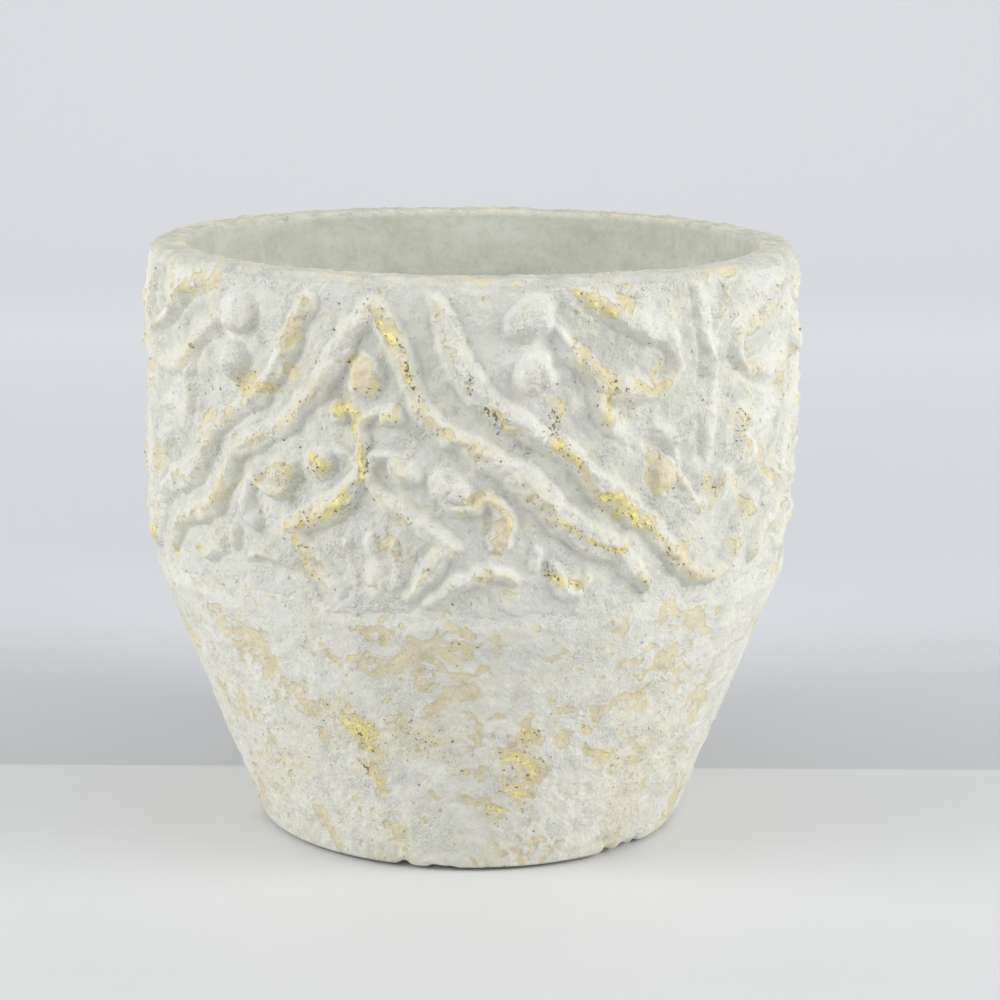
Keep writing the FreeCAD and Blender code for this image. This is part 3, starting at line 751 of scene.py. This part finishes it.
def makeUpper():
    s = named(upperSkin)
    outline, wallRows, boreRow = upperOutline()
    g = gridOf(outline, s.columns, s.step)
    isWall = (np.arange(g.shape[0]) < wallRows)[:, None]
    form = reliefOf(g, wallRows)
    outerEdge = np.exp(-((g.radius - wallRadius + bandWear["outerIn"]) / bandWear["outerWide"]) ** 2)
    outerEdge *= g.height > rimHeight - bandWear["outerDrop"]
    fields = upperWear(g, form, isWall, outerEdge)

    # the coat thins over the rim, and ends in a rough ledge over the cone
    thickness = s.coat * eased(*s.coatRise, g.height) + s.leastCoat
    thickness *= 1 - eased(rimHeight - s.rimThin, rimHeight, g.height)
    coat = coatField(g, fields["flake"], scabSeed=44, seed=51)
    coat -= s.chipDepth * outerEdge * chanceOf(g, *s.chipChance)
    mouth = s.mouthRadius
    inside = eased(mouth + s.smoothFrom, mouth + s.smoothFull, g.radius) * ~isWall
    coat *= np.where(isWall, s.wallCoat + s.ridgeCoat * form.ridge, s.rimCoat)
    push = (form.relief + coat + thickness) * (1 - inside)
    ledge = np.minimum(s.ledgeHeight + grainsOf(g, s.ledgeGrains), s.ledgeTop)
    lower = 1 - eased(ledge - s.ledgeBelow, ledge + s.ledgeAbove, g.height)
    points = pushedPoints(g, push * (1 - lower) - s.tuck * lower)
    normals = gridNormals(points)
    inwards = [-np.sin(g.angles), np.cos(g.angles), np.zeros(len(g.angles))]
    normals[boreRow + 1:] = np.stack(inwards, axis=-1)[None]

    cut = wallRows + 1
    wallFields = {name: field[:cut] for name, field in fields.items()}
    addPanels("reliefPanel", points[:cut], normals[:cut], wallFields, motifNodes)
    rimFields = {name: field[wallRows:] for name, field in fields.items()}
    mesh = skinMesh("rimRing", points[wallRows:], normals[wallRows:], rimFields, True)
    mesh.materials.append(castMaterial)
    faceRows = np.arange(wallRows, g.shape[0] - 1)[:, None]
    stray = np.clip(grain(g, s.castSize, s.castSeed)[wallRows:-1], -s.castStray, s.castStray)
    onCast = faceRows + stray > boreRow - s.castRows
    mesh.polygons.foreach_set("material_index", onCast.astype(np.int32).ravel())
    placePiece(addPiece("rimRing", mesh), ["pot_body"])


makeUpper()


# Crumbs: grains of lime that stuck to the band, thickest along its foot
crumbSet = dict(
    perArea=7000.0, footTimes=5.0, footFrom=0.094, footTo=0.102, small=0.0003, large=0.00085,
    flat=0.6, seed=7,
)


def crumbTree():
    s = named(crumbSet)
    tree = bpy.data.node_groups.new("limeCrumbs", "GeometryNodeTree")
    tree.interface.new_socket("Coat", in_out="INPUT", socket_type="NodeSocketGeometry")
    seedKey = tree.interface.new_socket("Seed", in_out="INPUT", socket_type="NodeSocketInt").identifier
    tree.interface.new_socket("Crumbs", in_out="OUTPUT", socket_type="NodeSocketGeometry")
    given = tree.nodes.new("NodeGroupInput").outputs
    height = addNode(tree, "ShaderNodeSeparateXYZ", {"Vector": addNode(tree, "GeometryNodeInputPosition").outputs[0]})
    foot = addNode(tree, "ShaderNodeMapRange", {
        "Value": height.outputs["Z"], "From Min": s.footFrom, "From Max": s.footTo,
        "To Min": s.footTimes, "To Max": 1.0})
    density = mathOf(tree, "MULTIPLY", foot.outputs["Result"], s.perArea)
    points = addNode(tree, "GeometryNodeDistributePointsOnFaces", {
        "Mesh": given["Coat"], "Density": density, "Seed": given["Seed"]})
    size = addNode(tree, "FunctionNodeRandomValue", {
        2: s.small, 3: s.large, "Seed": given["Seed"]}).outputs[1]
    thin = mathOf(tree, "MULTIPLY", size, s.flat)
    shape = addNode(tree, "ShaderNodeCombineXYZ", {"X": size, "Y": size, "Z": thin})
    grainBall = addNode(tree, "GeometryNodeMeshIcoSphere", {"Radius": 1.0, "Subdivisions": 1})
    laid = addNode(tree, "GeometryNodeInstanceOnPoints", {
        "Points": points.outputs["Points"], "Instance": grainBall.outputs["Mesh"],
        "Rotation": points.outputs["Rotation"], "Scale": shape.outputs[0]})
    for kind in ("RealizeInstances", "SetShadeSmooth", "SetMaterial"):
        laid = addNode(tree, "GeometryNode" + kind, {"Geometry": laid.outputs[0]})
    laid.inputs["Material"].default_value = limeMaterial
    addNode(tree, "NodeGroupOutput", {"Crumbs": laid.outputs[0]})
    return tree, seedKey


def makeCrumbs():
    s = named(crumbSet)
    tree, seedKey = crumbTree()
    for panel in panels:
        crumbs = addPiece("limeCrumbs%d" % panel, bpy.data.meshes["reliefPanel%d" % panel])
        modifier = crumbs.modifiers.new("crumbs", "NODES")
        modifier.node_group = tree
        modifier[seedKey] = s.seed + panel
        seen = crumbs.evaluated_get(bpy.context.evaluated_depsgraph_get())
        mesh = bpy.data.meshes.new_from_object(seen)
        mesh.name = "limeCrumbs%d" % panel
        crumbs.modifiers.clear()
        crumbs.data = mesh
        placePiece(crumbs, motifNodes(panel))


makeCrumbs()


# Cone: the plain lower outside, from its chipped foot to under the band
coneSkin = dict(
    columns=1020, step=0.6, shoulder=91, underBand=100, baseRadius=72.6, footRound=2.5,
    footInside=66.0, footRows=((0.0, 0.6), (1.2, 0.0)), footFlat=1.8, flatStep=1.0, footSteps=6,
    shoulderRound=5.0, shoulderSteps=3, coat=0.7, coatFrom=0.2, coatFull=3, chipDepth=1.5,
    chipShare=0.5, chipChance=(3.2, 79, 1.6, 2.6), chipTop=4, chipFull=1, tuck=1.6, tuckFrom=97,
    plainFoot=2.5, hollow=0.2, shadeFrom=-2, shadeTo=4,
)
coneWear = dict(
    bend=(1.6, 2, 61), goldGain=1.05, goldReach=(0.25, 2.6), backGold=0.7, backChance=(5, 63, 1.2, 2.1),
    warmth=0.45, backWarmth=0.15, warmChance=(8, 64, -0.1, 1.8), warmHeight=(80, 55),
    peachReach=(0.5, 1.4), backPeach=(5, 65, 0.6, 1.6), flakeGain=2.1, flakeBelow=0.5,
)
coneLean = math.atan2(wallRadius - coneSkin["baseRadius"], coneSkin["shoulder"] - baseHeight)


def coneOutline():  # (radius, height) from under the base, round the foot and up to the band
    s = named(coneSkin)
    foot = s.footRound
    inside = s.footInside
    centre = (s.baseRadius + foot * math.tan(coneLean) - foot / math.cos(coneLean), baseHeight + foot)
    coneStart = (centre[0] + foot * math.cos(coneLean), centre[1] - foot * math.sin(coneLean))
    cut = s.shoulderRound * math.tan(coneLean / 2)
    coneEnd = (wallRadius - cut * math.sin(coneLean), s.shoulder - cut * math.cos(coneLean))
    bend = (wallRadius - s.shoulderRound, s.shoulder + cut)
    outline = [(inside + out, baseHeight + up) for out, up in s.footRows]
    outline += runOf((inside + s.footFlat, baseHeight), (centre[0], baseHeight), s.flatStep)
    outline += arcOf(centre, foot, -math.pi / 2, -coneLean, s.footSteps)
    outline += runOf(coneStart, coneEnd, s.step)
    outline += arcOf(bend, s.shoulderRound, -coneLean, 0, s.shoulderSteps)
    outline += runOf((wallRadius, s.shoulder + cut), (wallRadius, s.underBand), s.step)
    return np.array(outline)


def lowerWear(g):
    s = named(coneWear)
    bentAcross, bentHeight = bentPlaces(g, *s.bend)
    gold = s.goldGain * strokeField(coneGold, bentAcross, bentHeight, *s.goldReach)
    gold = np.maximum(gold, s.backGold * g.back * chanceOf(g, *s.backChance))
    warmth = (s.warmth + s.backWarmth * g.back) * chanceOf(g, *s.warmChance)
    gold = np.maximum(gold, warmth * eased(*s.warmHeight, g.height))
    peach = strokeField(conePeach, bentAcross, bentHeight, *s.peachReach)
    peach = np.maximum(peach, g.back * chanceOf(g, *s.backPeach))
    shoulder = coneSkin["shoulder"]
    # painted shade, darker towards the top of the cone under the band
    hollow = eased(shoulder + coneSkin["shadeFrom"], shoulder + coneSkin["shadeTo"], g.height)
    return {
        "gold": gold, "flake": flakeField(g, s.flakeGain * peach - s.flakeBelow, seed=66),
        "hollow": coneSkin["hollow"] * hollow, "speckLines": np.zeros(g.shape)}


def makeCone():
    s = named(coneSkin)
    g = gridOf(coneOutline(), s.columns, s.step)
    fields = lowerWear(g)
    push = s.coat * coatField(g, fields["flake"], scabSeed=68, seed=71)
    push *= eased(baseHeight + s.coatFrom, baseHeight + s.coatFull, g.height)
    chips = s.chipShare * chanceOf(g, *s.chipChance)
    for across, width in footChips:
        chips = np.maximum(chips, np.exp(-((g.across - across) / width) ** 2))
    push -= s.chipDepth * chips * eased(baseHeight + s.chipTop, baseHeight + s.chipFull, g.height)
    push -= s.tuck * eased(s.tuckFrom, s.underBand, g.height)
    push *= g.radius > s.footInside + s.plainFoot
    points = pushedPoints(g, push, baseHeight)
    addPanels("conePanel", points, gridNormals(points), fields, lambda panel: ["pot_body"])


makeCone()


# Core: the base, the inside and what the skins hide, one closed turned shell
potCore = dict(
    columns=560, insideStep=2.4, hiddenStep=12, flatStep=8, footStep=2, middle=0.5, sink=4.5,
    baseEdge=67.0, footRise=3, topDrop=4, lipIn=3, lipDrop=1.8, boreFoot=(94.5, 89.9),
    floorEdge=(65.2, 15), trowelGrains=((1, 9, 95), (0.6, 3, 96)), trowel=0.16, trowelFrom=5,
    trowelFull=14, coatTop=155, coatFade=3, intoCoat=0.35,
)


def coreOutline():  # (radius, height) from the middle of the base, up outside, down inside
    s = named(potCore)
    hidden = wallRadius - s.sink
    mouth = upperSkin["mouthRadius"]
    base = (s.baseEdge, baseHeight)
    footTop = (coneSkin["baseRadius"] - s.sink, baseHeight + s.footRise)
    shoulder = (hidden, coneSkin["shoulder"])
    top = (hidden, rimHeight - s.topDrop)
    covered = runOf((s.middle, baseHeight), base, s.flatStep) + runOf(base, footTop, s.footStep)
    covered += runOf(footTop, shoulder, s.hiddenStep) + runOf(shoulder, top, s.hiddenStep)
    covered += [top, (mouth + s.lipIn, rimHeight - s.lipDrop)]
    inside = runOf((mouth, rimHeight - upperSkin["lipRound"]), s.boreFoot, s.insideStep)
    inside += runOf(s.boreFoot, s.floorEdge, s.insideStep)
    inside += runOf(s.floorEdge, (s.middle, s.floorEdge[1]), s.flatStep)
    return np.array(covered + inside), len(covered)


def makeCore():
    s = named(potCore)
    outline, insideFrom = coreOutline()
    g = gridOf(outline, s.columns, s.insideStep)
    rows, columns = g.shape
    isInside = (np.arange(rows) > insideFrom)[:, None]
    fromLip = eased(rimHeight - s.trowelFrom, rimHeight - s.trowelFull, g.height)
    push = s.trowel * isInside * fromLip * grainsOf(g, s.trowelGrains)
    underCoat = eased(s.coatTop + s.coatFade, s.coatTop, g.height)  # the sealing coat covers it
    push = push * (1 - underCoat) + s.intoCoat * isInside * underCoat
    mesh = sheetMesh("potCore", pushedPoints(g, push), True)
    closing = bmesh.new()
    closing.from_mesh(mesh)
    closing.verts.ensure_lookup_table()
    lastRow = (rows - 1) * columns
    for ring in (range(columns - 1, -1, -1), range(lastRow, lastRow + columns)):
        closing.faces.new([closing.verts[index] for index in ring])
    closing.to_mesh(mesh)
    closing.free()
    mesh.materials.append(castMaterial)
    placePiece(addPiece("potCore", mesh), ["pot_body"])


makeCore()


# Carried-over solids: the sealing coat inside and the pads under the base
for name in ["sealing_coat"] + ["foot_pad_%d" % index for index in range(1, 5)]:
    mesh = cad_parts[name].data
    mesh.materials.clear()
    mesh.materials.append(sealerMaterial if name == "sealing_coat" else feltMaterial)


# Stage: a pale sweep; behind edgeLine it takes the backdrop's tone, painted darker near the edge line as painted shade,
# with a painted glow further back that only the camera sees; the table is painted a little darker towards the front as
# painted shade
stageSet = dict(
    table=(0.76, 0.765, 0.765, 1), tableFront=(0.685, 0.69, 0.695, 1), tableReach=-0.16,
    wallNear=(0.615, 0.62, 0.63, 1), wallFar=(0.775, 0.785, 0.81, 1), farLine=0.25, edgeLine=0.0395,
    glowFrom=0.4, glowTo=1.1, glow=0.2, glowTint=(0.97, 0.98, 1.0, 1),
    width=6.0, front=-3.0, bend=1.4, bendRadius=1.2, bendSteps=18, top=3.0,
    edgeBlend=0.002, roughness=0.5, specular=0.3,
)


def makeStage():
    s = named(stageSet)
    bend = s.bendRadius
    back = s.bend + bend
    outline = [(s.front, 0.0)] + arcOf((s.bend, bend), bend, -math.pi / 2, 0, s.bendSteps)
    outline += [(back, bend), (back, s.top)]
    half = s.width / 2
    points = np.array([[(-half, y, z), (half, y, z)] for y, z in outline])
    mesh = sheetMesh("studioSweep", points, False)
    material, tree = blankMaterial("studioSweep")
    place = addNode(tree, "ShaderNodeSeparateXYZ", {"Vector": objectCoords(tree)}).outputs["Y"]
    # the backdrop is painted darker near the edge line: painted shade
    wall = mixOf(tree, edgeOf(tree, place, s.edgeLine, s.farLine), s.wallNear, s.wallFar)
    # the table is painted a little darker towards the front: painted shade
    table = mixOf(tree, edgeOf(tree, place, s.edgeLine, s.tableReach), s.table, s.tableFront)
    colour = mixOf(tree, edgeOf(tree, place, s.edgeLine, s.edgeLine + s.edgeBlend), table, wall)
    seen = addNode(tree, "ShaderNodeLightPath").outputs["Is Camera Ray"]
    # a painted glow on the far sweep, seen only by the camera
    glow = edgeOf(tree, place, s.glowFrom, s.glowTo, s.glow)
    finishOf(tree, {
        "Base Color": colour, "Roughness": s.roughness, "Specular IOR Level": s.specular,
        "Emission Color": s.glowTint, "Emission Strength": mathOf(tree, "MULTIPLY", glow, seen)})
    mesh.materials.append(material)
    addPiece("studioSweep", mesh)


# Light: an even sky and a softbox on each side
studioLight = dict(
    skyTint=(0.96, 0.98, 1.0, 1), skyStrength=0.565, target=(0, 0, 0.11), size=0.8,
    lamps=(("leftSoftbox", (-1.15, -0.5, 0.75), 10.2), ("rightSoftbox", (1.15, -0.5, 0.75), 11.6)),
)


def makeLight():
    s = named(studioLight)
    world = bpy.data.worlds.new("studioWorld")
    world.use_nodes = True
    tree = world.node_tree
    tree.nodes.clear()
    sky = addNode(tree, "ShaderNodeBackground", {"Color": s.skyTint, "Strength": s.skyStrength})
    addNode(tree, "ShaderNodeOutputWorld", {"Surface": sky.outputs[0]})
    scene.world = world
    for name, place, power in s.lamps:
        lamp = bpy.data.lights.new(name, "AREA")
        lamp.shape = "DISK"
        lamp.size = s.size
        lamp.energy = power
        holder = addPiece(name, lamp)
        holder.location = place
        holder.rotation_euler = (Vector(s.target) - Vector(place)).to_track_quat("-Z", "Y").to_euler()


# Camera fitted to the photograph: its place, its small turns, and its lens
photoCamera = dict(
    place=(0.0, -0.9142, 0.30386), pitch=-0.209524, focusPixels=2700, offsetPixels=-28.8,
    roll=0.006766, framePixels=1000, sensor=36.0, nearest=0.01,
)


def makeCamera():
    s = named(photoCamera)
    lens = bpy.data.cameras.new("photoCamera")
    lens.sensor_width = s.sensor
    lens.lens = s.focusPixels / s.framePixels * s.sensor
    lens.clip_start = s.nearest
    yaw = math.atan2(s.offsetPixels, s.focusPixels)
    camera = addPiece("photoCamera", lens)
    camera.matrix_world = Matrix.Translation(s.place)
    for turn, axis in ((math.pi / 2 + s.pitch, "X"), (yaw, "Y"), (s.roll, "Z")):
        camera.matrix_world = camera.matrix_world @ Matrix.Rotation(turn, 4, axis)
    scene.camera = camera


makeStage()
makeLight()
makeCamera()
scene.view_settings.view_transform = "Standard"
print("stage, light and camera set")
